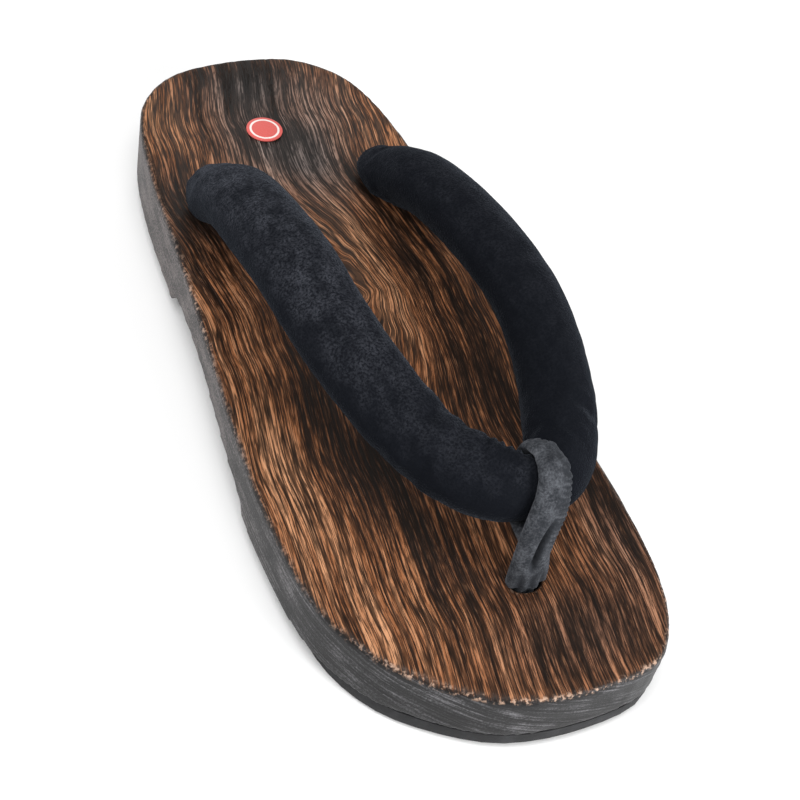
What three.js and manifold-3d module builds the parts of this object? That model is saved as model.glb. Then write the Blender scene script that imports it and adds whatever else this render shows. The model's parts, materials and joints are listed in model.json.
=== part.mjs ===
// Geta sandal for the right foot: a carved wooden board on two rubber sole pads, a padded strap
// whose two arms meet at a point between the toes, and a toe thong that holds that point down.
// Millimetres. Toe towards -Y, heel towards +Y, big-toe side towards +X, floor at Z = 0.
import * as THREE from "three";
import { mergeVertices } from "three/addons/utils/BufferGeometryUtils.js";
import Module from "manifold-3d";

const wasm = await Module();
wasm.setup();

// Driving dimensions
const LENGTH = 270;
const CLEARANCE = 0.3;
const DECK_TILT = THREE.MathUtils.degToRad(1.43);
const DECK_HEIGHT = 26.8;
const EDGE_ROUND = 1.6;
const OUTLINE_POINTS = 110;

// Plan of the board: a row for each station from toe to heel, with the X of its two edges
const TOE_TIP = new THREE.Vector3(11.5, -LENGTH / 2, 0);
const HEEL_TIP = new THREE.Vector3(8, LENGTH / 2, 0);
const PLAN = [
  { y: -131.5, lateral: -12.7, medial: 31.9 },
  { y: -120, lateral: -30.9, medial: 41.3 },
  { y: -108, lateral: -42.1, medial: 45.3 },
  { y: -90, lateral: -50.3, medial: 47.6 },
  { y: -60, lateral: -52.5, medial: 48.7 },
  { y: -24, lateral: -50.0, medial: 49.3 },
  { y: 12, lateral: -45.4, medial: 50.4 },
  { y: 48, lateral: -41.4, medial: 51.9 },
  { y: 84, lateral: -37.7, medial: 52.3 },
  { y: 108, lateral: -33.0, medial: 49.0 },
  { y: 120, lateral: -28.0, medial: 43.9 },
  { y: 131.5, lateral: -14.9, medial: 31.1 },
];

// Side profile of the board and its pads
const PAD_THICK = 5;
const PAD_THICK_AT_TOE = 3.7;
const HEEL_FRONT = 50;
const COVE_TOP = { y: 34, z: 12.6 };
const COVE_BEND = { y: 46, z: 12.2 };
const ARCH_BEND = { y: 0, z: 15 };
const ARCH_FRONT = { y: -38, z: 8.9 };
const FORE_REAR = -39.5;
const SPRING_START = -62;
const TOE_SPRING = 3.1;
const SPRING_STEPS = 10;
const PAD_END_INSET = 2;
const PAD_SIDE_INSET = 4.5;
const PAD_TOE_INSET = 1;
const PAD_INSET_FADE = { from: -60, to: -118 };

// Strap: a row for each section from the rear hole to the point, heights above the deck.
// Middle is the X midway between the arms, spread how far each is from it, lean the tilt of the wide axis.
const STRAP_STEPS = 48;
const STRAP_SIDES = 20;
const STRAP = [
  { y: 67.5, middle: 6.3, spread: 29.4, lateral: -4, medial: -4, wide: 7, thick: 6.6, lean: 0 },
  { y: 67.2, middle: 6.3, spread: 29.4, lateral: 0.8, medial: 0, wide: 8, thick: 7.2, lean: 0 },
  { y: 65.4, middle: 6.3, spread: 29.5, lateral: 5.4, medial: 2.7, wide: 9.8, thick: 8.7, lean: 5 },
  { y: 58, middle: 6.6, spread: 30.5, lateral: 10.6, medial: 6.7, wide: 11.9, thick: 9.6, lean: 10 },
  { y: 43.5, middle: 7, spread: 31.2, lateral: 20.5, medial: 15, wide: 12.5, thick: 10.1, lean: 15 },
  { y: 22.5, middle: 7, spread: 32, lateral: 28.2, medial: 21.6, wide: 12.5, thick: 10.3, lean: 20 },
  { y: 0, middle: 7, spread: 32.1, lateral: 33.6, medial: 26.1, wide: 12.4, thick: 10.1, lean: 20 },
  { y: -22, middle: 7, spread: 31.5, lateral: 34, medial: 28, wide: 12, thick: 10, lean: 22 },
  { y: -44.5, middle: 7, spread: 27.5, lateral: 31.4, medial: 27.1, wide: 11.5, thick: 10.4, lean: 27 },
  { y: -64.5, middle: 7, spread: 20.9, lateral: 28.3, medial: 26.2, wide: 11.2, thick: 10.8, lean: 38 },
  { y: -79, middle: 8, spread: 13, lateral: 27.8, medial: 26.8, wide: 11.7, thick: 9.9, lean: 55 },
  { y: -86.5, middle: 9.2, spread: 6.2, lateral: 28.4, medial: 28, wide: 10.9, thick: 7.3, lean: 72 },
  { y: -89.5, middle: 10, spread: -1, lateral: 28.4, medial: 28.4, wide: 9, thick: 5, lean: 82 },
];
const TAIL = { y: 64.5, spread: 29.6, radius: 4.6, depth: 12, rise: 2 };
const SOCKET_EXTRA = 2;

// Toe thong: a folded strip that comes up out of the front hole, over the strap's point, down behind it
// and forward again underneath. A row for each section, heights above the deck.
const THONG_SIDES = 20;
const THONG_FRONT = [
  { x: 7, y: -97.7, z: -12, halfWidth: 4.4, halfThick: 3 },
  { x: 7, y: -97.7, z: -0.4, halfWidth: 4.4, halfThick: 3 },
  { x: 7, y: -97.8, z: 1, halfWidth: 6.2, halfThick: 3.7 },
  { x: 6.7, y: -97.8, z: 6, halfWidth: 6.1, halfThick: 3.6 },
  { x: 6.3, y: -97.4, z: 12, halfWidth: 5.4, halfThick: 3.3 },
  { x: 7, y: -96.8, z: 19, halfWidth: 5.7, halfThick: 3 },
  { x: 8.2, y: -96, z: 26, halfWidth: 6, halfThick: 2.8 },
  { x: 9.1, y: -94.7, z: 32, halfWidth: 5.4, halfThick: 2.7 },
  { x: 9.8, y: -92.4, z: 36.6, halfWidth: 4.9, halfThick: 2.7 },
  { x: 10.2, y: -89.2, z: 38.8, halfWidth: 4.6, halfThick: 2.6 },
  { x: 10.3, y: -86, z: 38, halfWidth: 4.5, halfThick: 2.5 },
];
const THONG_REAR = [
  { x: 10.2, y: -88.2, z: 38.4, halfWidth: 4, halfThick: 2 },
  { x: 10.2, y: -84, z: 38.3, halfWidth: 4.4, halfThick: 2.3 },
  { x: 9.7, y: -80.2, z: 35.5, halfWidth: 4.4, halfThick: 2.3 },
  { x: 9, y: -78.6, z: 28, halfWidth: 4.4, halfThick: 2.2 },
  { x: 8.6, y: -80.2, z: 20, halfWidth: 4.5, halfThick: 2.3 },
  { x: 8.2, y: -85.5, z: 16, halfWidth: 4.8, halfThick: 2.3 },
  { x: 7.6, y: -95.6, z: 15.2, halfWidth: 4.8, halfThick: 2 },
];

// Size sticker on the heel
const STICKER = { x: 6.2, y: 96, radius: 6.1, thick: 0.5, sides: 40 };

const FAR = 2 * LENGTH;
const HALF_LENGTH = LENGTH / 2;
const deckToFloor = new THREE.Matrix4().makeRotationX(DECK_TILT).setPosition(0, 0, DECK_HEIGHT);
const sideToFloor = new THREE.Matrix4().makeBasis(
  new THREE.Vector3(0, 1, 0),
  new THREE.Vector3(0, 0, 1),
  new THREE.Vector3(1, 0, 0),
);

// Solids and meshes
function solid(geometry) {
  const bare = geometry.clone();
  bare.deleteAttribute("normal");
  bare.deleteAttribute("uv");
  const merged = mergeVertices(bare, 1e-4);
  const vertProperties = merged.attributes.position.array;
  const triVerts = new Uint32Array(merged.index.array);
  return new wasm.Manifold(new wasm.Mesh({ numProp: 3, vertProperties, triVerts }));
}

function piece(name, body, material) {
  const { vertProperties, triVerts } = body.getMesh();
  const geometry = new THREE.BufferGeometry();
  geometry.setAttribute("position", new THREE.BufferAttribute(vertProperties, 3));
  geometry.setIndex(new THREE.BufferAttribute(triVerts, 1));
  geometry.computeVertexNormals();
  const made = new THREE.Mesh(geometry, material);
  made.name = name;
  return made;
}

// A closed skin over rings of equal length, with a fan over each end
function loft(rings, reversed) {
  const sides = rings[0].length;
  const points = rings.flat();
  const faces = [];
  const addFace = (a, b, c) => faces.push(...(reversed ? [a, c, b] : [a, b, c]));
  for (let ring = 0; ring < rings.length - 1; ring++) {
    for (let side = 0; side < sides; side++) {
      const here = ring * sides + side;
      const next = ring * sides + ((side + 1) % sides);
      addFace(here, next, next + sides);
      addFace(here, next + sides, here + sides);
    }
  }
  const last = (rings.length - 1) * sides;
  for (let side = 1; side < sides - 1; side++) {
    addFace(0, side + 1, side);
    addFace(last, last + side, last + side + 1);
  }
  return new THREE.BufferGeometry().setFromPoints(points).setIndex(faces);
}

function oval(centre, along, across, halfAlong, halfAcross, sides) {
  return Array.from({ length: sides }, (_, side) => {
    const angle = (2 * Math.PI * side) / sides;
    return centre
      .clone()
      .addScaledVector(along, halfAlong * Math.cos(angle))
      .addScaledVector(across, halfAcross * Math.sin(angle));
  });
}

// The board's plan, anticlockwise from the toe, drawn in by a distance that may change with Y
const planCurve = new THREE.CatmullRomCurve3(
  [
    TOE_TIP,
    ...PLAN.map((row) => new THREE.Vector3(row.medial, row.y, 0)),
    HEEL_TIP,
    ...PLAN.toReversed().map((row) => new THREE.Vector3(row.lateral, row.y, 0)),
  ],
  true,
);

function planShape(inset) {
  const points = [];
  for (let index = 0; index < OUTLINE_POINTS; index++) {
    const at = planCurve.getPointAt(index / OUTLINE_POINTS);
    const run = planCurve.getTangentAt(index / OUTLINE_POINTS);
    const depth = inset(at.y);
    points.push(new THREE.Vector2(at.x - run.y * depth, at.y + run.x * depth));
  }
  return new THREE.Shape(points);
}

function sideSolid(shape) {
  const geometry = new THREE.ExtrudeGeometry(shape, { depth: LENGTH, bevelEnabled: false });
  return solid(geometry.translate(0, 0, -HALF_LENGTH).applyMatrix4(sideToFloor));
}

const padInset = (y) => {
  const fade = THREE.MathUtils.smoothstep(-y, -PAD_INSET_FADE.from, -PAD_INSET_FADE.to);
  return THREE.MathUtils.lerp(PAD_SIDE_INSET, PAD_TOE_INSET, fade);
};

// Toe spring of the forefoot, from the flat tread up to the tip
const springShare = (y) => Math.max(0, (SPRING_START - y) / (SPRING_START + HALF_LENGTH));
const treadHeight = (y) => TOE_SPRING * springShare(y) ** 2;
const padTop = (y) => {
  const thick = THREE.MathUtils.lerp(PAD_THICK, PAD_THICK_AT_TOE, Math.min(1, springShare(y)));
  return treadHeight(y) + thick;
};

function foreRun(heightAt) {
  const end = -HALF_LENGTH - EDGE_ROUND;
  return Array.from({ length: SPRING_STEPS + 1 }, (_, step) => {
    const y = THREE.MathUtils.lerp(SPRING_START, end, step / SPRING_STEPS);
    return new THREE.Vector2(y, heightAt(y));
  });
}

// Wooden board
function boardBlank() {
  const depth = DECK_HEIGHT * 2;
  const geometry = new THREE.ExtrudeGeometry(planShape(() => 0), {
    depth,
    bevelThickness: EDGE_ROUND,
    bevelSize: EDGE_ROUND,
    bevelOffset: -EDGE_ROUND,
    bevelSegments: 3,
  });
  return solid(geometry.translate(0, 0, -depth - EDGE_ROUND).applyMatrix4(deckToFloor));
}

function boardProfile() {
  const base = PAD_THICK + CLEARANCE;
  const shape = new THREE.Shape();
  shape.moveTo(FAR, base);
  shape.lineTo(FAR, FAR);
  shape.lineTo(-FAR, FAR);
  shape.lineTo(-FAR, base + TOE_SPRING);
  for (const point of foreRun((y) => padTop(y) + CLEARANCE).toReversed()) {
    shape.lineTo(point.x, point.y);
  }
  shape.lineTo(FORE_REAR, base);
  shape.lineTo(ARCH_FRONT.y, ARCH_FRONT.z);
  shape.quadraticCurveTo(ARCH_BEND.y, ARCH_BEND.z, COVE_TOP.y, COVE_TOP.z);
  shape.quadraticCurveTo(COVE_BEND.y, COVE_BEND.z, HEEL_FRONT, base);
  return shape;
}

function board() {
  const sockets = [-1, 1].map((side) => tailPost(side, TAIL.radius + CLEARANCE, SOCKET_EXTRA));
  const body = boardBlank().intersect(sideSolid(boardProfile()));
  const drilled = sockets.reduce((left, socket) => left.subtract(socket), body);
  return drilled.subtract(thongStrip(THONG_FRONT, CLEARANCE));
}

// A round post that stands through the deck under an arm's rear end, for its tail or the tail's socket
function tailPost(side, radius, extra) {
  const height = TAIL.depth + TAIL.rise + 2 * extra;
  const geometry = new THREE.CylinderGeometry(radius, radius, height, STRAP_SIDES);
  const x = STRAP[0].middle + side * TAIL.spread;
  geometry.rotateX(Math.PI / 2).translate(x, TAIL.y, (TAIL.rise - TAIL.depth) / 2);
  return solid(geometry.applyMatrix4(deckToFloor));
}

// Rubber pads
function pad(sideShape) {
  const plan = planShape(padInset);
  const geometry = new THREE.ExtrudeGeometry(plan, { depth: DECK_HEIGHT, bevelEnabled: false });
  return solid(geometry.translate(0, 0, -EDGE_ROUND)).intersect(sideSolid(sideShape));
}

function forePad() {
  const rear = FORE_REAR - PAD_END_INSET;
  return pad(
    new THREE.Shape([
      new THREE.Vector2(rear, PAD_THICK),
      ...foreRun(padTop),
      ...foreRun(treadHeight).toReversed(),
      new THREE.Vector2(rear, 0),
    ]),
  );
}

function heelPad() {
  const front = HEEL_FRONT + PAD_END_INSET;
  return pad(
    new THREE.Shape([
      new THREE.Vector2(front, 0),
      new THREE.Vector2(FAR, 0),
      new THREE.Vector2(FAR, PAD_THICK),
      new THREE.Vector2(front, PAD_THICK),
    ]),
  );
}

// One arm of the strap, swollen all round by grow
function strapArm(side, grow) {
  const height = side < 0 ? "lateral" : "medial";
  const path = new THREE.CatmullRomCurve3(
    STRAP.map((row) => new THREE.Vector3(row.middle + side * row.spread, row.y, row[height])),
  );
  const up = new THREE.Vector3(0, 0, 1);
  const rings = [];
  for (let step = 0; step <= STRAP_STEPS; step++) {
    const share = step / STRAP_STEPS;
    const place = share * (STRAP.length - 1);
    const row = STRAP[Math.floor(place)];
    const next = STRAP[Math.min(Math.floor(place) + 1, STRAP.length - 1)];
    const between = (column) => THREE.MathUtils.lerp(row[column], next[column], place % 1);
    const run = path.getTangent(share);
    const level = run.clone().cross(up).normalize();
    const rise = level.clone().cross(run);
    const out = level.multiplyScalar(-side);
    const lean = THREE.MathUtils.degToRad(between("lean"));
    const wide = out.clone().multiplyScalar(Math.cos(lean)).addScaledVector(rise, -Math.sin(lean));
    const thick = out.clone().multiplyScalar(Math.sin(lean)).addScaledVector(rise, Math.cos(lean));
    const halfWide = between("wide") + grow;
    const halfThick = between("thick") + grow;
    const centre = path.getPoint(share).addScaledVector(run, step === STRAP_STEPS ? grow : 0);
    rings.push(oval(centre, wide, thick, halfWide, halfThick, STRAP_SIDES));
  }
  return solid(loft(rings, side < 0).applyMatrix4(deckToFloor));
}

const strapArms = (grow) => strapArm(-1, grow).add(strapArm(1, grow));

// Everything below the deck's top plane, lifted by a gap
function underDeck(gap) {
  const geometry = new THREE.BoxGeometry(FAR, FAR, FAR).translate(0, 0, gap - FAR / 2);
  return solid(geometry.applyMatrix4(deckToFloor));
}

function strap() {
  const tails = [-1, 1].map((side) => tailPost(side, TAIL.radius, 0));
  const arms = strapArms(0).subtract(underDeck(CLEARANCE));
  return tails.reduce((joined, tail) => joined.add(tail), arms);
}

// Toe thong: a strip of oval sections square to their own run, swollen all round by grow
function thongStrip(rows, grow) {
  const points = rows.map((row) => new THREE.Vector3(row.x, row.y, row.z));
  const rings = rows.map((row, index) => {
    const before = points[Math.max(index - 1, 0)];
    const after = points[Math.min(index + 1, points.length - 1)];
    const run = after.clone().sub(before).normalize();
    const across = new THREE.Vector3(1, 0, 0).addScaledVector(run, -run.x).normalize();
    const through = run.clone().cross(across);
    const centre = points[index].clone().addScaledVector(run, index === 0 ? -2 * grow : 0);
    return oval(centre, across, through, row.halfWidth + grow, row.halfThick + grow, THONG_SIDES);
  });
  return solid(loft(rings, false).applyMatrix4(deckToFloor));
}

function thong() {
  const strip = thongStrip(THONG_FRONT, 0).add(thongStrip(THONG_REAR, 0));
  return strip.subtract(strapArms(CLEARANCE));
}

function sticker() {
  const { x, y, radius, thick, sides } = STICKER;
  const geometry = new THREE.CylinderGeometry(radius, radius, thick, sides).rotateX(Math.PI / 2);
  return solid(geometry.translate(x, y, CLEARANCE + thick / 2).applyMatrix4(deckToFloor));
}

// Finishes
const finish = (color, roughness) => new THREE.MeshStandardMaterial({ color, roughness, metalness: 0 });
const scorchedWood = finish(0x6b4026, 0.5);
const rubber = finish(0x141414, 0.85);
const velvet = finish(0x1c2026, 0.95);
const thongVelvet = finish(0x33363b, 0.95);
const stickerPaper = finish(0xb5362c, 0.5);

const sandal = new THREE.Group();
sandal.add(
  piece("board", board(), scorchedWood),
  piece("fore_pad", forePad(), rubber),
  piece("heel_pad", heelPad(), rubber),
  piece("strap", strap(), velvet),
  piece("toe_thong", thong(), thongVelvet),
  piece("size_sticker", sticker(), stickerPaper),
);

export default sandal;
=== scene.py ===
"""Geta sandal for the right foot: dresses its solids in scorched wood, rubber and padded velvet."""

import json
import math
from contextlib import contextmanager
from typing import NamedTuple

import bpy
from bpy.props import FloatProperty, FloatVectorProperty, PointerProperty
from bpy.types import Operator, Panel, PropertyGroup
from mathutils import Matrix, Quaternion, Vector, noise

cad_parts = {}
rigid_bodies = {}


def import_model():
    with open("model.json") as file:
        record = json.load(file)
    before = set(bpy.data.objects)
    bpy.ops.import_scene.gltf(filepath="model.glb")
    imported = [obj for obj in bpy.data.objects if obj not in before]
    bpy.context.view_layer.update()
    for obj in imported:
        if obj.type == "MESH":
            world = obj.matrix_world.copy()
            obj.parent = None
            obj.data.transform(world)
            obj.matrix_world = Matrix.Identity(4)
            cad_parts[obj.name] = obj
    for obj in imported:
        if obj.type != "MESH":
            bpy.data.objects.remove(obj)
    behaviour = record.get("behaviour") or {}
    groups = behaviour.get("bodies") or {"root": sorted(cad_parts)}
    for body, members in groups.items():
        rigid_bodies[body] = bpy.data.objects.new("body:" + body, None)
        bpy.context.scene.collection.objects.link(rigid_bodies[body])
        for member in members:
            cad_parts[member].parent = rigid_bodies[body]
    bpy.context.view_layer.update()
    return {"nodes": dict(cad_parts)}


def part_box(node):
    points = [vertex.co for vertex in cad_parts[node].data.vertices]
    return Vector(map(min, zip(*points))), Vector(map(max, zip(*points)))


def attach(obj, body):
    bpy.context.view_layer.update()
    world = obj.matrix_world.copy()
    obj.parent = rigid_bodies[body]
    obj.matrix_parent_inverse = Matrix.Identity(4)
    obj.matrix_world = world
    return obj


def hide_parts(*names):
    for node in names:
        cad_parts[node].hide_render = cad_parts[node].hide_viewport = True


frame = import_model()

bl_info = {
    "name": "Geta Sandal",
    "version": (1, 0, 0),
    "blender": (4, 5, 0),
    "location": "View3D > Sidebar > Sandal",
    "description": "Dresses the solids of a geta sandal in scorched wood, rubber and padded velvet",
    "category": "Object",
}

MM = 0.001


def mm(*lengths):
    """Lengths in millimetres as metres."""
    return tuple(length * MM for length in lengths)


# Places on the board, in millimetres: x towards the big toe, y from toe to heel


class Patch(NamedTuple):
    """A soft blotch: its middle, its reach each way and how strong it is."""

    x: float
    y: float
    wide: float
    long: float
    amount: float


class Bend(NamedTuple):
    """How far the grain has wandered sideways at one place along the board."""

    y: float
    shift: float


class Ring(NamedTuple):
    """The dark edge of a growth ring on the heel, from its near end to its far end."""

    x: float
    y: float
    far_x: float
    far_y: float
    amount: float


GRAIN_BENDS = (
    Bend(-136, -14),
    Bend(-100, -9),
    Bend(-50, -4),
    Bend(0, 3),
    Bend(18, 5),
    Bend(45, 3),
    Bend(70, 0),
    Bend(100, 4),
    Bend(136, 12),
)

# The oval figure in the grain between the strap's arms
EYE = Patch(13, 18, 10, 36, 9.0)

# Dark patches on the deck: scorch marks, and painted shadow along and under the strap's arms
SCORCH_AND_SHADOW = (
    Patch(8, -122, 14, 12, 0.35),
    Patch(22, -112, 9, 12, 0.60),
    Patch(44, -78, 7, 18, 0.75),
    Patch(0, -98, 7, 14, 0.35),
    Patch(-10, -82, 8, 20, 0.60),
    Patch(-19, -52, 9, 26, 0.95),
    Patch(-26, -22, 6, 18, 0.60),
    Patch(-24, 10, 5, 16, 0.45),
    Patch(-36, 48, 9, 22, 0.55),
    Patch(-30, 64, 8, 12, 0.45),
    Patch(28, -34, 10, 22, 0.85),
    Patch(36, 2, 8, 22, 0.55),
    Patch(12, -56, 9, 10, 0.70),
    Patch(30, 36, 8, 18, 0.55),
    Patch(28, 66, 7, 12, 0.50),
    Patch(10, 128, 18, 9, 0.45),
)

EMBER = (
    Patch(-40, -92, 9, 26, 0.38),
    Patch(-44, -46, 7, 30, 1.00),
    Patch(-16, -112, 7, 14, 0.30),
    Patch(12, 14, 7, 22, 1.00),
    Patch(17, 46, 8, 16, 0.90),
    Patch(-26, 106, 7, 24, 1.00),
    Patch(40, 94, 7, 22, 0.55),
    Patch(26, 98, 8, 16, 0.40),
    Patch(15, 76, 9, 13, 0.55),
)

# Grey patches: grey char, partly painted sheen where the heel reflects the light
CHAR_AND_SHEEN = (
    Patch(2, 94, 16, 30, 0.80),
    Patch(18, 80, 13, 22, 0.80),
    Patch(12, 122, 18, 14, 0.75),
    Patch(-33, 68, 8, 18, 0.45),
    Patch(32, 106, 12, 18, 0.45),
    Patch(16, -118, 24, 14, 0.40),
    Patch(42, -88, 11, 24, 0.45),
)

RINGS = (
    Ring(-14, 84, -10, 131, 1.0),
    Ring(-4, 102, 3, 133, 0.8),
    Ring(0, 96, 12, 134, 1.0),
    Ring(11, 96, 20, 130, 0.8),
    Ring(5, 62, 10, 104, 0.6),
    Ring(28, 84, 34, 118, 0.5),
)


class Crease(NamedTuple):
    """A soft trough in the strap: its middle, its turn in degrees, its half length, reach and depth."""

    x: float
    y: float
    turn: float
    long: float
    wide: float
    deep: float


CREASES = (
    Crease(-3, -78, 50, 8, 1.3, 0.8),
    Crease(-7, -72, 40, 9, 1.7, 0.9),
    Crease(-12, -65, 30, 11, 2.4, 0.8),
    Crease(-19, -56, 20, 10, 3.0, 0.6),
    Crease(-31, -20, 5, 10, 4.0, 0.5),
    Crease(-27, 46, -10, 9, 4.0, 0.5),
    Crease(18, -76, -50, 8, 1.8, 0.4),
    Crease(26, -62, -30, 10, 3.0, 0.35),
    Crease(39, -14, -5, 10, 4.0, 0.5),
)

# The gathers on the inner edge of the outer arm, where it goes under the thong
GATHERS = Patch(4, -81, 7, 6, 1.1)
GATHER_PITCH = 2.6


class Stem(NamedTuple):
    """The thong's front strip at a height above the deck: its middle and half its width."""

    z: float
    x: float
    half: float


STEM = (
    Stem(0, 7.0, 6.2),
    Stem(6, 6.7, 6.1),
    Stem(12, 6.3, 5.4),
    Stem(19, 7.0, 5.7),
    Stem(26, 8.2, 6.0),
    Stem(32, 9.1, 5.4),
    Stem(40, 10.2, 4.6),
)

# How far the grain wanders, in millimetres, all over and in the oval figure
WANDER_REACH = 0.6
RIPPLE_REACH = 1.3

# How far a ring's dark edge fades to one side and to the other, and where it starts, in millimetres
RING_FADE = 3.5
RING_SHARP = 0.7
RING_LEAD = 4

# How much the lines on the wall rise towards the big-toe side
WALL_SLANT = 0.30

# Stretches of the sandal, in metres: where each change starts and where it ends
TOE_WALL = mm(-112, -70)
TOE_WEAR = mm(-120, -80)
HEEL_WALL = mm(-110, 20)
HELD_AT_DECK = mm(0.5, 7)
HELD_AT_THONG = mm(-86, -72)
INNER_ARM = mm(1, 11)
NAP_AND_SHEEN_FORE = mm(-80, -10)
NAP_AND_SHEEN_REAR = mm(15, 60)

# The middle and the reach of the wear at the outer waist, in metres
WAIST_WEAR = mm(24, 26)

# Sizes of the spots in each pattern, in metres: across, along and up
WANDER = mm(14, 40, 20)
RIPPLE = mm(4, 6, 20)
BRUSHED_BROAD = mm(3, 50, 40)
BRUSHED_FINE = mm(1.7, 26, 40)
TOE_LINES = mm(40, 40, 2.6)
KNOCKS = mm(5, 5, 9)
NICKS = mm(1.5, 1.5, 1.5)
BANDS = mm(3.2, 60, 40)
STRANDS = mm(1.5, 46, 30)
THREADS = mm(0.75, 18, 20)
HAIRS = mm(0.45, 4.2, 8)
DASHES = mm(0.6, 3.6, 8)
WALL_LINES = mm(22, 22, 0.8)
WALL_DUST = mm(0.55, 0.8, 0.5)
WALL_CLOUDS = mm(7, 12, 5)
RUBBER_GRAIN = mm(0.5, 0.5, 0.5)
RUBBER_DUST = mm(9, 9, 9)
NAP_CLOUDS = mm(5, 9, 5)
PILE = mm(0.7, 0.7, 0.7)
RUBBED_CLOUDS = mm(4, 4, 4)
PAPER_FIBRE = mm(0.4, 0.4, 0.4)

# Depths of the fine reliefs, in metres
RUBBER_RELIEF = 0.12 * MM
PILE_RELIEF = 0.5 * MM
THONG_RELIEF = 0.4 * MM
PAPER_RELIEF = 0.05 * MM

# The steps of the cloth's filling, and how much its cloth grows meanwhile
CLOTH_STEPS = 20
CLOTH_SHRINK = -0.03


# Properties


def size(label, description, default):
    """A length that a user may change, in metres."""
    return FloatProperty(name=label, description=description, default=default,
                         min=0.0, precision=5, subtype="DISTANCE", unit="LENGTH")


def colour(label, description, default):
    """A linear colour that a user may change."""
    return FloatVectorProperty(name=label, description=description, default=default,
                               size=3, min=0.0, max=1.0, subtype="COLOR")


def amount(label, description, default):
    """A plain number that a user may change."""
    return FloatProperty(name=label, description=description, default=default, min=0.0)


class SandalBoard(PropertyGroup):
    """Sizes and colours of the wooden board."""

    mesh_step: size("Mesh step", "Edge length of the faces on the carved surface", 1.0 * MM)
    brushing: size("Brushing", "Depth of the soft wood brushed out between the grain lines", 0.22 * MM)
    end_grain: size("End grain", "Depth of the slanting lines on the toe's wall", 0.30 * MM)
    knocks: size("Knocks", "Depth of the dents along the worn upper edge", 0.45 * MM)
    pore_depth: size("Pore depth", "Depth of the pores and the wall's grit", 0.22 * MM)
    pore_colour: colour("Pores", "Colour of the burnt pores", (0.0050, 0.0028, 0.0018))
    brown_colour: colour("Brown", "Colour of the darker wood", (0.040, 0.015, 0.006))
    ember_colour: colour("Ember", "Colour of the brushed wood", (0.280, 0.106, 0.041))
    light_colour: colour("Light", "Colour of the palest grain lines", (0.560, 0.275, 0.140))
    char_colour: colour("Char", "Colour of the grey, polished heel", (0.135, 0.108, 0.098))
    wall_colour: colour("Wall", "Colour of the charred wall at the heel", (0.041, 0.035, 0.034))
    soot_colour: colour("Soot", "Colour of the charred wall at the toe", (0.035, 0.034, 0.036))
    worn_colour: colour("Worn edge", "Colour of the rubbed upper edge", (0.380, 0.250, 0.180))


class SandalPads(PropertyGroup):
    """Sizes and colours of the rubber tread pads."""

    edge_round: size("Edge round", "Radius of the pads' edges", 0.7 * MM)
    rubber_colour: colour("Rubber", "Colour of the rubber", (0.010, 0.010, 0.011))


class SandalStrap(PropertyGroup):
    """Sizes and colours of the padded strap."""

    mesh_step: size("Mesh step", "Edge length of the cloth's faces before they are divided", 2.6 * MM)
    slack: size("Slack", "How much thinner the strap is before it is filled", 0.3 * MM)
    swell_limit: size("Swell limit", "The furthest that the filling pushes the cloth", 0.6 * MM)
    pressure: amount("Pressure", "Pressure of the filling", 4.0)
    pile_colour: colour("Pile", "Colour of the velvet's pile", (0.0058, 0.0066, 0.0088))
    nap_colour: colour("Nap", "Colour of the pile where it is brushed over", (0.050, 0.053, 0.064))


class SandalThong(PropertyGroup):
    """Sizes and colours of the toe thong."""

    mesh_step: size("Mesh step", "Edge length of the thong's faces", 0.4 * MM)
    fold_depth: size("Fold depth", "Depth of the fold along the stem", 2.2 * MM)
    gather_depth: size("Gather depth", "Depth of the gathers at the hole", 0.8 * MM)
    rib_depth: size("Rib depth", "Depth of the ribs across the upper edge", 0.50 * MM)
    rib_pitch: size("Rib pitch", "Distance between the ribs", 1.6 * MM)
    velvet_colour: colour("Velvet", "Colour of the thong's velvet", (0.024, 0.026, 0.030))
    nap_colour: colour("Nap", "Colour of the velvet where it is rubbed", (0.092, 0.097, 0.108))


class SandalSticker(PropertyGroup):
    """Sizes and colours of the round sticker."""

    edge_round: size("Edge round", "Radius of the sticker's upper edge", 0.15 * MM)
    ring_middle: size("Ring", "Radius of the pale ring", 4.7 * MM)
    ring_width: size("Ring width", "Width of the pale ring", 0.7 * MM)
    red_colour: colour("Red", "Colour of the print", (0.640, 0.105, 0.090))
    pale_colour: colour("Pale", "Colour of the bare paper", (0.850, 0.760, 0.720))


class SandalStage(PropertyGroup):
    """The camera and the studio."""

    lens: amount("Lens", "Focal length of the camera, in millimetres", 76.0)
    roll: FloatProperty(name="Roll", description="Turn of the camera about its line of sight",
                        default=math.radians(12.64), subtype="ANGLE", unit="ROTATION")
    key_power: amount("Key", "Power of the soft light above the camera, in watts", 14.3)
    rear_power: amount("Rear", "Power of the soft light behind the heel, in watts", 1.5)
    side_power: amount("Side", "Power of the soft light at the sandal's outer side, in watts", 4.6)
    front_power: amount("Front", "Power of the soft light in front of the toe, in watts", 11.0)
    sky: amount("Sky", "Strength of the light from all around", 0.23)
    floor_colour: colour("Floor", "Colour of the floor", (0.92, 0.92, 0.92))


# Shader nodes


class Value:
    """A shader socket: arithmetic on it adds Math nodes."""

    def __init__(self, finish, socket):
        self.finish = finish
        self.socket = socket

    def math(self, operation, *terms):
        sockets = dict(enumerate(terms))
        return self.finish.node("ShaderNodeMath", {"operation": operation}, sockets)

    def __add__(self, other):
        return self.math("ADD", self, other)

    def __radd__(self, other):
        return self.math("ADD", other, self)

    def __sub__(self, other):
        return self.math("SUBTRACT", self, other)

    def __rsub__(self, other):
        return self.math("SUBTRACT", other, self)

    def __mul__(self, other):
        return self.math("MULTIPLY", self, other)

    def __rmul__(self, other):
        return self.math("MULTIPLY", other, self)

    def absolute(self):
        return self.math("ABSOLUTE", self)


def find_socket(sockets, key):
    """A node's socket by its place or its identifier."""
    if isinstance(key, int):
        return sockets[key]
    return next(socket for socket in sockets if socket.identifier == key)


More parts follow.
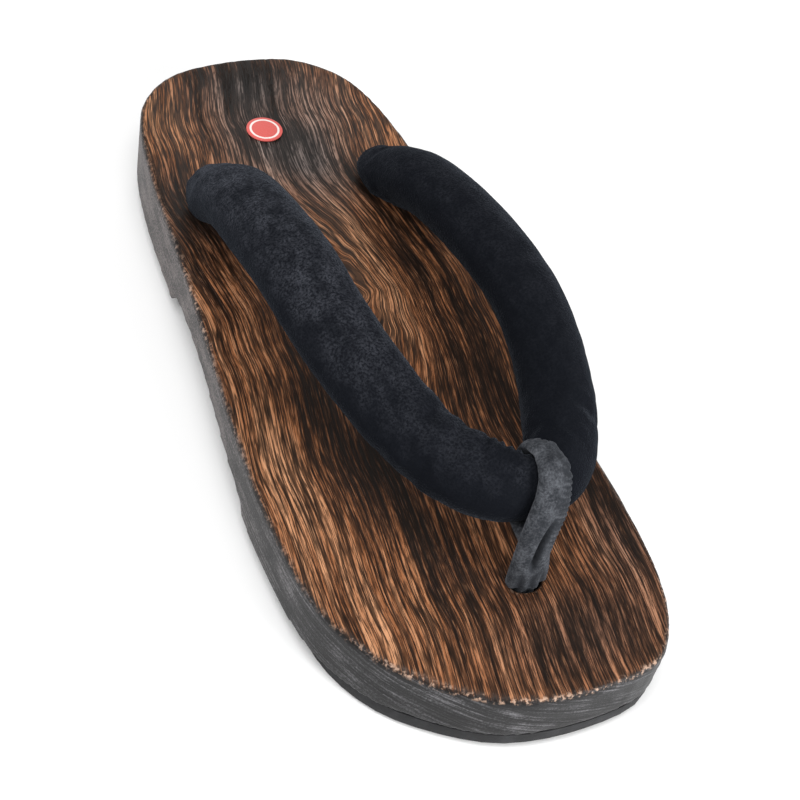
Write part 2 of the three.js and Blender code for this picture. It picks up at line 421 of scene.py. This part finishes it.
class Finish:
    """One material: its shader's constants, and the nodes that vary over the surface."""

    def __init__(self, name, constants):
        self.material = bpy.data.materials.new(name)
        self.material.use_nodes = True
        self.tree = self.material.node_tree
        self.shader = self.tree.nodes["Principled BSDF"]
        for key, value in constants.items():
            self.shader.inputs[key].default_value = value

    def plug(self, socket, value):
        if isinstance(value, Value):
            self.tree.links.new(value.socket, socket)
        elif socket.type == "RGBA":
            socket.default_value = (*value[:3], 1.0)
        else:
            socket.default_value = value

    def node(self, kind, settings, sockets, output=0):
        """Adds a node, sets it up, fills its sockets and gives back one output."""
        node = self.tree.nodes.new(kind)
        for key, value in settings.items():
            if key == "stops":
                self.set_stops(node.color_ramp, value)
            else:
                setattr(node, key, value)
        for key, value in sockets.items():
            self.plug(find_socket(node.inputs, key), value)
        return Value(self, find_socket(node.outputs, output))

    @staticmethod
    def set_stops(ramp, stops):
        while len(ramp.elements) < len(stops):
            ramp.elements.new(1.0)
        for element, (place, shade) in zip(ramp.elements, stops):
            element.position = place
            element.color = (*shade[:3], 1.0)

    def feed(self, key, value):
        self.plug(self.shader.inputs[key], value)

    def object_place(self):
        return self.node("ShaderNodeTexCoord", {}, {}, "Object")

    def painted(self, name, output="Fac"):
        return self.node("ShaderNodeAttribute", {"attribute_name": name}, {}, output)

    def axes(self, vector):
        return [self.node("ShaderNodeSeparateXYZ", {}, {"Vector": vector}, axis) for axis in "XYZ"]

    def joined(self, x, y, z):
        return self.node("ShaderNodeCombineXYZ", {}, {"X": x, "Y": y, "Z": z})

    def speckle(self, vector, grain, detail=2.0, roughness=0.5, distortion=0.0):
        """Noise whose spots measure grain, a size in metres for each axis."""
        scaled = self.node("ShaderNodeVectorMath", {"operation": "DIVIDE"},
                           {"Vector": vector, "Vector_001": grain})
        return self.node("ShaderNodeTexNoise", {},
                         {"Vector": scaled, "Scale": 1.0, "Detail": detail,
                          "Roughness": roughness, "Distortion": distortion}, 0)

    def step(self, value, low, high):
        """A soft step from 0 to 1."""
        return self.node("ShaderNodeMapRange", {"interpolation_type": "SMOOTHSTEP"},
                         {"Value": value, "From Min": low, "From Max": high})

    def veins(self, value, width):
        """Thin lines where a noise crosses its middle."""
        return 1 - self.step((value - 0.5).absolute(), 0.3 * width, width)

    def ramp(self, value, *stops):
        return self.node("ShaderNodeValToRGB", {"stops": stops}, {"Fac": value})

    def mix(self, first, second, share):
        """Two colours blended, the second one by its share."""
        return self.node("ShaderNodeMix", {"data_type": "RGBA"},
                         {"Factor_Float": share, "A_Color": first, "B_Color": second},
                         "Result_Color")

    def blend(self, first, second, share):
        """Two numbers blended, the second one by its share."""
        return self.node("ShaderNodeMix", {"data_type": "FLOAT"},
                         {"Factor_Float": share, "A_Float": first, "B_Float": second},
                         "Result_Float")

    def bump(self, height, depth, strength=1.0):
        """Feeds the normal with a relief as deep as depth, in metres."""
        self.feed("Normal", self.node("ShaderNodeBump", {},
                                      {"Strength": strength, "Distance": depth, "Height": height}))


# Modelling helpers


def only(piece):
    """Selects one object and makes it active."""
    bpy.ops.object.select_all(action="DESELECT")
    piece.select_set(True)
    bpy.context.view_layer.objects.active = piece


@contextmanager
def editing(piece):
    """Edit mode with the whole mesh selected."""
    only(piece)
    bpy.ops.object.mode_set(mode="EDIT")
    bpy.ops.mesh.select_all(action="SELECT")
    yield
    bpy.ops.object.mode_set(mode="OBJECT")


def copy_of_node(node, name):
    """A merged copy of a node, with a mesh of its own."""
    only(frame["nodes"][node])
    bpy.ops.object.duplicate(linked=False)
    piece = bpy.context.active_object
    bpy.ops.object.parent_clear(type="CLEAR_KEEP_TRANSFORM")
    for key in list(piece.keys()):
        del piece[key]
    piece.name = name
    piece.data.name = name
    piece.data.materials.clear()
    with editing(piece):
        bpy.ops.mesh.remove_doubles(threshold=0.001 * MM)
    return piece


def apply_modifier(piece, kind, **settings):
    """Adds a modifier, sets it up and applies it."""
    only(piece)
    bpy.ops.object.modifier_add(type=kind)
    modifier = piece.modifiers[-1]
    for key, value in settings.items():
        setattr(modifier, key, value)
    bpy.ops.object.modifier_apply(modifier=modifier.name)


def remesh(piece, step):
    apply_modifier(piece, "REMESH", mode="VOXEL", voxel_size=step, use_smooth_shade=True)


def sculpt(piece, move):
    """Moves each point by what move says of its place and normal."""
    points = [(point.co.copy(), point.normal.copy()) for point in piece.data.vertices]
    for point, (place, normal) in zip(piece.data.vertices, points):
        point.co = place + move(place, normal)
    piece.data.update()


def paint(piece, name, shade):
    """Keeps a number for each point, worked out from its place and normal."""
    layer = piece.data.attributes.new(name, "FLOAT", "POINT")
    layer.data.foreach_set("value", [shade(v.co, v.normal) for v in piece.data.vertices])


def hand_over(piece, finish, slot, *nodes):
    """Gives a finished piece its material and its body, and hides the nodes it stands for."""
    piece.data.materials.clear()
    piece.data.materials.append(finish.material)
    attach(piece, "root")
    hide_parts(*nodes)


def ease(value, low, high):
    """A soft step from 0 to 1."""
    share = min(max((value - low) / (high - low), 0.0), 1.0)
    return share * share * (3.0 - 2.0 * share)


def bump_at(value, middle, reach):
    """A soft hump, 1 at its middle."""
    return math.exp(-((value - middle) / reach) ** 2)


def rough(place, spot):
    """Seeded noise from -1 to 1 whose spots measure spot, a size in metres for each axis."""
    return noise.noise(Vector([along / length for along, length in zip(place, spot)]))


# Board


def deck_plane():
    """A point on the deck and its upward normal, from the board's own faces."""
    board = frame["nodes"]["board"].data
    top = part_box("board")[1].z
    faces = [f for f in board.polygons if f.normal.z > 0.99 and f.center.z > 0.75 * top]
    whole = sum(f.area for f in faces)
    normal = sum((f.normal * f.area for f in faces), Vector()).normalized()
    return sum((f.center * f.area for f in faces), Vector()) / whole, normal


DECK_POINT, DECK_NORMAL = deck_plane()


def above_deck(place):
    return (place - DECK_POINT).dot(DECK_NORMAL)


def grain_bend(y):
    """Sideways wander of the grain, in millimetres, at a place along the board."""
    for first, second in zip(GRAIN_BENDS, GRAIN_BENDS[1:]):
        if y <= second.y:
            break
    share = ease(y, first.y, second.y)
    return first.shift + (second.shift - first.shift) * share


def grain_place(place):
    """The place on a straight-grained board that this place comes from, in metres."""
    x = place.x / MM
    y = place.y / MM
    bent = x - grain_bend(y)
    side = (x - EYE.x) / EYE.wide
    eye = math.exp(-side ** 2 - ((y - EYE.y) / EYE.long) ** 2)
    bent -= EYE.amount * eye
    bent += WANDER_REACH * rough(place, WANDER)
    bent += RIPPLE_REACH * eye * rough(place, RIPPLE)
    return Vector((bent * MM, place.y, place.z))


def blotches(patches, place):
    """The soft patches' sum at a place on the deck, at most 1."""
    x = place.x / MM
    y = place.y / MM
    total = 0.0
    for patch in patches:
        far = ((x - patch.x) / patch.wide) ** 2 + ((y - patch.y) / patch.long) ** 2
        total += patch.amount * math.exp(-far)
    return min(total, 1.0)


def ring_edges(place):
    """How dark the growth rings make the heel: sharp at each edge, fading towards the big-toe side."""
    x = place.x / MM
    y = place.y / MM
    total = 0.0
    for ring in RINGS:
        share = (y - ring.y) / (ring.far_y - ring.y)
        past = x - ring.x - (ring.far_x - ring.x) * share
        edge = math.exp(-past / RING_FADE) if past > 0 else bump_at(past, 0.0, RING_SHARP)
        start = ease(y, ring.y - RING_LEAD, ring.y + 3 * RING_LEAD)
        total = max(total, ring.amount * edge * start)
    return total


def deck_share(normal):
    return ease(normal.z, 0.55, 0.93)


def rim_share(normal):
    """1 on the rounded upper edge."""
    return ease(normal.z, 0.10, 0.45) * (1.0 - ease(normal.z, 0.90, 0.99))


def wear(place):
    """How much the upper edge is rubbed: most at the toe and the outer waist."""
    toe = 1.0 - ease(place.y, *TOE_WEAR)
    waist = bump_at(place.y, *WAIST_WEAR) if place.x < 0 else 0.0
    return max(toe, 0.8 * waist, 0.25)


def carve(settings):
    """How the board's surface was worked: brushed deck, slanting end grain, knocked edge."""
    def move(place, normal):
        grain = grain_place(place)
        deck = deck_share(normal)
        brushed = rough(grain, BRUSHED_BROAD) + 0.6 * rough(grain, BRUSHED_FINE)
        depth = settings.brushing * deck * min(brushed, 0.5) * 0.5
        slanted = Vector((place.x, place.y, place.z + WALL_SLANT * place.x))
        toe = 1.0 - ease(place.y, *TOE_WALL)
        depth += settings.end_grain * (1.0 - deck) * toe * 0.5 * (rough(slanted, TOE_LINES) - 1)
        worn = rim_share(normal) * wear(place)
        depth += settings.knocks * worn * 0.5 * (rough(place, KNOCKS) - 0.6)
        return normal * depth
    return move


def wood_finish(settings):
    """Scorched wood: dark pores in brushed orange grain, grey at the heel partly as painted sheen,
    charred on the wall.
    """
    wood = Finish("scorched_wood", {"Specular IOR Level": 0.22})
    deck = wood.painted("deck")
    char = wood.painted("char")
    grain = wood.painted("grain", "Vector")
    shade, relief = wood_grain(wood, settings, grain, char)
    charred, grit = charred_wall(wood, settings)
    place = wood.object_place()
    nicks = wood.speckle(place, NICKS, 3.0, 0.65)
    worn = wood.step(nicks, 0.50, 0.64) * wood.painted("rim")
    colours = wood.mix(charred, shade, deck)
    singed = wood.step(nicks, 0.62, 0.40) * wood.painted("edge")
    colours = wood.mix(colours, settings.pore_colour, 0.8 * singed)
    wood.feed("Base Color", wood.mix(colours, settings.worn_colour, worn))
    wood.feed("Roughness", wood.blend(0.44 + 0.10 * grit, 0.46 + 0.10 * relief, deck))
    wood.bump(wood.blend(grit, relief, deck), settings.pore_depth, 1.0)
    return wood


def wood_grain(wood, settings, grain, char):
    """The deck's colour and relief: bands, ring edges, pale hairs with painted glints and burnt pores
    along the grain.
    """
    # Scorch marks, with painted shadow under the strap's arms
    scorch = wood.painted("scorch")
    ember = wood.painted("ember")
    rings = wood.painted("rings")
    bands = wood.speckle(grain, BANDS, 2.0, 0.6)
    strands = wood.speckle(grain, STRANDS, 2.0, 0.5)
    threads = wood.speckle(grain, THREADS, 1.0, 0.5)
    hairs = wood.speckle(grain, HAIRS, 1.0, 0.5)
    dashes = wood.speckle(grain, DASHES, 1.0, 0.5)

    tone = 0.85 * bands + 0.45 * strands - 0.15 + 0.22 * ember - 0.36 * scorch - 0.24 * rings
    base = wood.ramp(tone, (0.28, settings.brown_colour), (0.50, settings.ember_colour),
                     (0.80, settings.light_colour))
    # Pale hairs: painted highlights where the light catches the brushed ridges
    pale = wood.step(hairs, 0.54, 0.70) * (0.60 - 0.55 * scorch)
    base = wood.mix(base, settings.light_colour, pale * 0.55)
    # Grey for the heel: char colour lifted by painted sheen
    grey = wood.ramp(tone, (0.26, settings.pore_colour), (0.50, settings.char_colour),
                     (0.80, tuple(2.2 * c for c in settings.char_colour)))
    base = wood.mix(base, grey, char)
    kept = (1 - 0.85 * wood.veins(strands, 0.075)) * (1 - 0.70 * wood.veins(threads, 0.085))
    burnt = 1 - wood.step(wood.blend(hairs, dashes, char) - 0.10 * scorch, 0.36, 0.50)
    kept = kept * (1 - (0.55 + 0.20 * char) * burnt)
    return wood.mix(settings.pore_colour, base, kept), 0.7 * kept + 0.3 * hairs


def charred_wall(wood, settings):
    """The wall's colour and grit: sooty speckle, with slanting lines at the toe."""
    place = wood.object_place()
    x, y, z = wood.axes(place)
    slanted = wood.joined(x, y, z + WALL_SLANT * x)
    lines = wood.speckle(slanted, WALL_LINES, 3.0, 0.6)
    dust = wood.speckle(place, WALL_DUST, 2.0, 0.7)
    clouds = wood.speckle(place, WALL_CLOUDS, 2.0, 0.5)
    heel = wood.step(y, *HEEL_WALL)
    grit = wood.blend(0.65 * lines + 0.35 * dust, 0.25 * lines + 0.75 * dust, heel)
    # Lighter towards the heel: partly painted light from the side falling on the heel's wall
    tone = 2.2 * grit + 0.6 * clouds + 0.18 * heel - 1.02
    shade = wood.mix(soot_ramp(wood, tone, settings.soot_colour),
                     soot_ramp(wood, tone, settings.wall_colour), heel)
    return shade, grit


def soot_ramp(wood, tone, middle):
    """From sooty black through the wall's middle colour to bare grey."""
    return wood.ramp(tone, (0.36, tuple(0.25 * c for c in middle)), (0.52, middle),
                     (0.74, tuple(3.6 * c for c in middle)))


def make_board(settings):
    board = copy_of_node("board", "sandal_board")
    remesh(board, settings.mesh_step)
    apply_modifier(board, "SMOOTH", factor=0.4, iterations=2)
    straight = board.data.attributes.new("grain", "FLOAT_VECTOR", "POINT")
    places = [grain_place(v.co) for v in board.data.vertices]
    straight.data.foreach_set("vector", [c for place in places for c in place])
    paint(board, "scorch", lambda place, normal: blotches(SCORCH_AND_SHADOW, place))
    paint(board, "ember", lambda place, normal: blotches(EMBER, place))
    paint(board, "char", lambda place, normal: blotches(CHAR_AND_SHEEN, place))
    paint(board, "rings", lambda place, normal: ring_edges(place))
    paint(board, "deck", lambda place, normal: deck_share(normal))
    paint(board, "edge", lambda place, normal: rim_share(normal))
    paint(board, "rim", lambda place, normal: rim_share(normal) * wear(place))
    sculpt(board, carve(settings))
    hand_over(board, wood_finish(settings), "scorched_wood", "board")


# Pads


def rubber_finish(settings):
    """Matte black rubber with a fine moulded grain."""
    rubber = Finish("rubber", {"Specular IOR Level": 0.35})
    place = rubber.object_place()
    grain = rubber.speckle(place, RUBBER_GRAIN, 2.0, 0.6)
    dust = rubber.step(rubber.speckle(place, RUBBER_DUST, 4.0, 0.7), 0.45, 0.75)
    dusty = tuple(2.6 * c for c in settings.rubber_colour)
    rubber.feed("Base Color", rubber.mix(settings.rubber_colour, dusty, dust))
    rubber.feed("Roughness", 0.62 + 0.2 * grain)
    rubber.bump(grain, RUBBER_RELIEF, 0.8)
    return rubber


def make_pads(settings):
    rubber = rubber_finish(settings)
    for node in ("fore_pad", "heel_pad"):
        pad = copy_of_node(node, "sandal_" + node)
        apply_modifier(pad, "BEVEL", width=settings.edge_round, segments=3,
                       limit_method="ANGLE", angle_limit=math.radians(40))
        only(pad)
        bpy.ops.object.shade_smooth_by_angle(angle=math.radians(35))
        hand_over(pad, rubber, "rubber", node)


# Strap


def fill_with_wadding(strap, settings):
    """Inflates the strap's cloth against its pinned ends and keeps the result."""
    start = [point.co.copy() for point in strap.data.vertices]
    held = strap.vertex_groups.new(name="held")
    for point in strap.data.vertices:
        near_deck = 1.0 - ease(above_deck(point.co), *HELD_AT_DECK)
        near_thong = 1.0 - ease(point.co.y, *HELD_AT_THONG)
        held.add([point.index], max(near_deck, near_thong), "REPLACE")
    only(strap)
    bpy.ops.object.modifier_add(type="CLOTH")
    cloth = strap.modifiers[-1]
    cloth.settings.use_pressure = True
    cloth.settings.uniform_pressure_force = settings.pressure
    cloth.settings.vertex_group_mass = held.name
    cloth.settings.effector_weights.gravity = 0.0
    cloth.settings.shrink_min = CLOTH_SHRINK
    for step in range(1, CLOTH_STEPS + 1):
        bpy.context.scene.frame_set(step)
    bpy.ops.object.modifier_apply(modifier=cloth.name)
    for point, place in zip(strap.data.vertices, start):
        moved = point.co - place
        if moved.length > settings.swell_limit:
            point.co = place + moved.normalized() * settings.swell_limit
    bpy.context.scene.frame_set(1)


def velvet_finish(settings):
    """Blue-black velvet whose pile is brushed over in cloudy patches, lighter on top as painted
    highlight.
    """
    velvet = Finish("velvet", {"Sheen Weight": 0.08, "Sheen Roughness": 0.30,
                               "Sheen Tint": (0.70, 0.78, 0.92, 1.0), "Specular IOR Level": 0.0})
    place = velvet.object_place()
    # Brushed pile, partly painted highlight on the up-facing tops, most on the outer arm
    brushed = velvet.painted("brushed")
    clouds = velvet.speckle(place, NAP_CLOUDS, 5.0, 0.68)
    pile = velvet.speckle(place, PILE, 2.0, 0.7)
    tufts = velvet.step(pile, 0.34, 0.66)
    nap_and_sheen = brushed * (0.20 + 0.80 * velvet.step(clouds, 0.34, 0.68)) * (0.15 + 1.1 * tufts)
    velvet.feed("Base Color", velvet.mix(settings.pile_colour, settings.nap_colour, nap_and_sheen))
    velvet.feed("Roughness", 0.95 - 0.1 * nap_and_sheen)
    velvet.bump(pile, PILE_RELIEF, 0.7)
    return velvet


def pucker(place, normal):
    """Sinks the strap's creases and gathers into its velvet."""
    x = place.x / MM
    y = place.y / MM
    depth = 0.0
    for crease in CREASES:
        turn = math.radians(crease.turn)
        along = (x - crease.x) * math.cos(turn) + (y - crease.y) * math.sin(turn)
        across = (y - crease.y) * math.cos(turn) - (x - crease.x) * math.sin(turn)
        depth += crease.deep * bump_at(along, 0.0, crease.long) * bump_at(across, 0.0, crease.wide)
    inner = ease(normal.x, 0.1, 0.5) * ease(normal.z, -0.2, 0.2)
    near = bump_at(x, GATHERS.x, GATHERS.wide) * bump_at(y, GATHERS.y, GATHERS.long)
    wave = 0.5 + 0.5 * math.cos(2 * math.pi * (0.6 * x - 0.8 * y) / GATHER_PITCH)
    depth += GATHERS.amount * inner * near * wave
    return normal * (-depth * ease(normal.z, -0.3, 0.3) * MM)


def brushed_and_lit_share(place, normal):
    """How much pile is brushed over and lit: painted highlight on top, more to the rear, and least on
    the big-toe side's arm.
    """
    outer = 1.0 - 0.75 * ease(place.x, *INNER_ARM)
    rear = 0.25 + 0.50 * ease(place.y, *NAP_AND_SHEEN_FORE) + 0.40 * ease(place.y, *NAP_AND_SHEEN_REAR)
    return outer * rear * ease(normal.z, -0.05, 0.95)


def make_strap(settings):
    strap = copy_of_node("strap", "sandal_strap")
    remesh(strap, settings.mesh_step)
    apply_modifier(strap, "DISPLACE", strength=-settings.slack, mid_level=0.0)
    fill_with_wadding(strap, settings)
    apply_modifier(strap, "SUBSURF", levels=2, render_levels=2)
    sculpt(strap, pucker)
    only(strap)
    bpy.ops.object.shade_smooth()
    # Brushed nap and painted highlight on the strap's tops
    paint(strap, "brushed", brushed_and_lit_share)
    hand_over(strap, velvet_finish(settings), "velvet", "strap")


# Toe thong


def thong_finish(settings):
    """Charcoal velvet, rubbed pale in patches, with painted shade in its fold, gathers and rib hollows.
    """
    velvet = Finish("thong_velvet", {"Sheen Weight": 0.08, "Sheen Roughness": 0.35,
                                     "Sheen Tint": (0.80, 0.85, 0.95, 1.0), "Specular IOR Level": 0.0})
    place = velvet.object_place()
    pile = velvet.speckle(place, PILE, 3.0, 0.7)
    clouds = velvet.speckle(place, RUBBED_CLOUDS, 3.0, 0.6)
    # Painted shade: no rubbed nap in the fold, the gathers and the rib hollows
    rubbed = velvet.step(0.5 * pile + 0.5 * clouds, 0.38, 0.70) * (1 - 0.9 * velvet.painted("hollow"))
    velvet.feed("Base Color", velvet.mix(settings.velvet_colour, settings.nap_colour, rubbed))
    velvet.feed("Roughness", 0.95 - 0.1 * rubbed)
    velvet.bump(pile, THONG_RELIEF, 0.7)
    return velvet


def stem_across(place):
    """Where a point lies across the thong's front strip, from -1 to 1, and its height."""
    height = above_deck(place) / MM
    for low, high in zip(STEM, STEM[1:]):
        if height <= high.z:
            break
    share = min(max((height - low.z) / (high.z - low.z), 0.0), 1.0)
    middle = low.x + (high.x - low.x) * share
    return (place.x / MM - middle) / (low.half + (high.half - low.half) * share), height


def fold(settings):
    """How deep the strip is folded: a crease up the stem, gathers at the hole, ribs on one edge."""
    def depth(place, normal):
        across, height = stem_across(place)
        line = -0.08 + 0.02 * (height - 16)
        deep = (settings.fold_depth * ease(-normal.y, 0.0, 0.5) * bump_at(across, line, 0.16)
                * ease(height, 7, 13) * (1.0 - ease(height, 19, 29)))
        waves = 0.5 + 0.5 * math.cos(3.4 * math.pi * across + 0.6)
        deep += settings.gather_depth * waves * (1.0 - ease(height, 3, 10)) * ease(-normal.y, -0.6, 0.2)
        ribs = 0.5 + 0.5 * math.cos(2 * math.pi * (height + 2.5 * across) * MM / settings.rib_pitch)
        return deep + settings.rib_depth * ribs * ease(across, -0.2, 0.5) * ease(height, 14, 19)
    return depth


def make_thong(settings):
    thong = copy_of_node("toe_thong", "sandal_toe_thong")
    remesh(thong, settings.mesh_step)
    apply_modifier(thong, "SMOOTH", factor=0.5, iterations=4)
    depth = fold(settings)
    # Painted shade for the fold, gathers and ribs, from their depth
    paint(thong, "hollow", lambda place, normal: min(depth(place, normal) / settings.rib_depth, 1.0))
    sculpt(thong, lambda place, normal: normal * -depth(place, normal))
    hand_over(thong, thong_finish(settings), "thong_velvet", "toe_thong")


# Sticker


def sticker_finish(settings):
    """Red printed paper with a pale ring."""
    low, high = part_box("size_sticker")
    middle = (low + high) / 2
    paper = Finish("sticker", {"Specular IOR Level": 0.4})
    place = paper.object_place()
    flat = paper.node("ShaderNodeVectorMath", {"operation": "SUBTRACT"},
                      {"Vector": place, "Vector_001": middle})
    out = paper.node("ShaderNodeVectorMath", {"operation": "LENGTH"}, {"Vector": flat}, "Value")
    half = settings.ring_width / 2
    edge = 0.1 * MM
    inner = paper.step(out, settings.ring_middle - half - edge, settings.ring_middle - half + edge)
    outer = paper.step(out, settings.ring_middle + half - edge, settings.ring_middle + half + edge)
    fibre = paper.speckle(place, PAPER_FIBRE, 3.0, 0.7)
    red = paper.mix(settings.red_colour, settings.pale_colour, paper.step(fibre, 0.55, 0.85) * 0.35)
    paper.feed("Base Color", paper.mix(red, settings.pale_colour, inner - outer))
    paper.feed("Roughness", 0.42 + 0.2 * fibre)
    paper.bump(fibre, PAPER_RELIEF, 0.6)
    return paper


def make_sticker(settings):
    sticker = copy_of_node("size_sticker", "sandal_sticker")
    apply_modifier(sticker, "BEVEL", width=settings.edge_round, segments=3,
                   limit_method="ANGLE", angle_limit=math.radians(40))
    only(sticker)
    bpy.ops.object.shade_smooth_by_angle(angle=math.radians(35))
    hand_over(sticker, sticker_finish(settings), "sticker", "size_sticker")


# Stage

CAMERA_PLACE = Vector((-190.0, -315.8, 378.9)) * MM
CAMERA_AIM = Vector((6.0, -20.3, 16.7)) * MM
CLIP_START = 10 * MM
FLOOR_SIDE = 6.0
SENSOR = 36.0


class Light(NamedTuple):
    """A square soft light: its name, its place and its side, in metres."""

    name: str
    place: Vector
    side: float


LIGHTS = (
    Light("key", Vector((-0.35, -0.35, 1.15)), 0.90),
    Light("rear", Vector((0.30, 0.85, 0.55)), 0.55),
    Light("side", Vector((-0.95, 0.35, 0.35)), 0.60),
    Light("front", Vector((0.45, -0.85, 0.30)), 0.50),
)


def aim(thing, place, target, roll=0.0):
    """Puts a camera or a light at a place, looking at a target."""
    turn = (target - place).to_track_quat("-Z", "Y") @ Quaternion((0, 0, 1), roll)
    thing.rotation_mode = "QUATERNION"
    thing.location = place
    thing.rotation_quaternion = turn


def soft_light(light, power):
    bpy.ops.object.light_add(type="AREA", location=light.place)
    lamp = bpy.context.active_object
    lamp.name = light.name + "_light"
    lamp.data.shape = "SQUARE"
    lamp.data.size = light.side
    lamp.data.energy = power
    aim(lamp, light.place, CAMERA_AIM)


def floor_finish(settings):
    """Pale seamless paper."""
    paper = Finish("studio_floor", {"Roughness": 0.9, "Specular IOR Level": 0.1})
    paper.feed("Base Color", settings.floor_colour)
    return paper


def make_stage(settings):
    bpy.ops.object.select_all(action="DESELECT")
    bpy.ops.mesh.primitive_plane_add(size=FLOOR_SIDE)
    floor = bpy.context.active_object
    floor.name = "studio_floor"
    floor.data.materials.append(floor_finish(settings).material)
    for light in LIGHTS:
        soft_light(light, getattr(settings, light.name + "_power"))
    world = bpy.data.worlds.new("studio")
    world.use_nodes = True
    sky = world.node_tree.nodes["Background"]
    sky.inputs["Color"].default_value = (1.0, 1.0, 1.0, 1.0)
    sky.inputs["Strength"].default_value = settings.sky
    scene = bpy.context.scene
    scene.world = world
    scene.view_settings.view_transform = "Standard"
    bpy.ops.object.camera_add(location=CAMERA_PLACE)
    camera = bpy.context.active_object
    camera.name = "studio_camera"
    camera.data.sensor_width = SENSOR
    camera.data.lens = settings.lens
    camera.data.clip_start = CLIP_START
    aim(camera, CAMERA_PLACE, CAMERA_AIM, settings.roll)
    scene.camera = camera


# Operators


class SANDAL_OT_board(Operator):
    """Carve the wooden board and give it its scorched finish."""

    bl_idname = "sandal.board"
    bl_label = "Board"

    def execute(self, context):
        make_board(context.scene.sandal_board)
        return {"FINISHED"}


class SANDAL_OT_pads(Operator):
    """Round off the rubber tread pads."""

    bl_idname = "sandal.pads"
    bl_label = "Tread pads"

    def execute(self, context):
        make_pads(context.scene.sandal_pads)
        return {"FINISHED"}


class SANDAL_OT_strap(Operator):
    """Fill the strap's velvet arms with wadding."""

    bl_idname = "sandal.strap"
    bl_label = "Strap"

    def execute(self, context):
        make_strap(context.scene.sandal_strap)
        return {"FINISHED"}


class SANDAL_OT_thong(Operator):
    """Fold the thong round the point of the strap."""

    bl_idname = "sandal.thong"
    bl_label = "Toe thong"

    def execute(self, context):
        make_thong(context.scene.sandal_thong)
        return {"FINISHED"}


class SANDAL_OT_sticker(Operator):
    """Print the round sticker on the heel."""

    bl_idname = "sandal.sticker"
    bl_label = "Sticker"

    def execute(self, context):
        make_sticker(context.scene.sandal_sticker)
        return {"FINISHED"}


class SANDAL_OT_stage(Operator):
    """Set up the floor, the lights and the camera."""

    bl_idname = "sandal.stage"
    bl_label = "Stage"

    def execute(self, context):
        make_stage(context.scene.sandal_stage)
        return {"FINISHED"}


SETTINGS = {
    "sandal_board": SandalBoard,
    "sandal_pads": SandalPads,
    "sandal_strap": SandalStrap,
    "sandal_thong": SandalThong,
    "sandal_sticker": SandalSticker,
    "sandal_stage": SandalStage,
}

OPERATORS = (
    SANDAL_OT_board,
    SANDAL_OT_pads,
    SANDAL_OT_strap,
    SANDAL_OT_thong,
    SANDAL_OT_sticker,
    SANDAL_OT_stage,
)


class SANDAL_PT_panel(Panel):
    """Lists the sandal's pieces with their sizes and colours."""

    bl_label = "Geta Sandal"
    bl_space_type = "VIEW_3D"
    bl_region_type = "UI"
    bl_category = "Sandal"

    def draw(self, context):
        for name, operator in zip(SETTINGS, OPERATORS):
            box = self.layout.box()
            box.operator(operator.bl_idname)
            settings = getattr(context.scene, name)
            for key in settings.__annotations__:
                box.prop(settings, key)


CLASSES = (*SETTINGS.values(), *OPERATORS, SANDAL_PT_panel)


def register():
    for entry in CLASSES:
        bpy.utils.register_class(entry)
    for name, group in SETTINGS.items():
        setattr(bpy.types.Scene, name, PointerProperty(type=group))


def unregister():
    for name in SETTINGS:
        delattr(bpy.types.Scene, name)
    for entry in reversed(CLASSES):
        bpy.utils.unregister_class(entry)


def main():
    register()
    bpy.ops.sandal.stage()
    bpy.ops.sandal.board()
    bpy.ops.sandal.pads()
    bpy.ops.sandal.strap()
    bpy.ops.sandal.thong()
    bpy.ops.sandal.sticker()


if __name__ == "__main__":
    main()
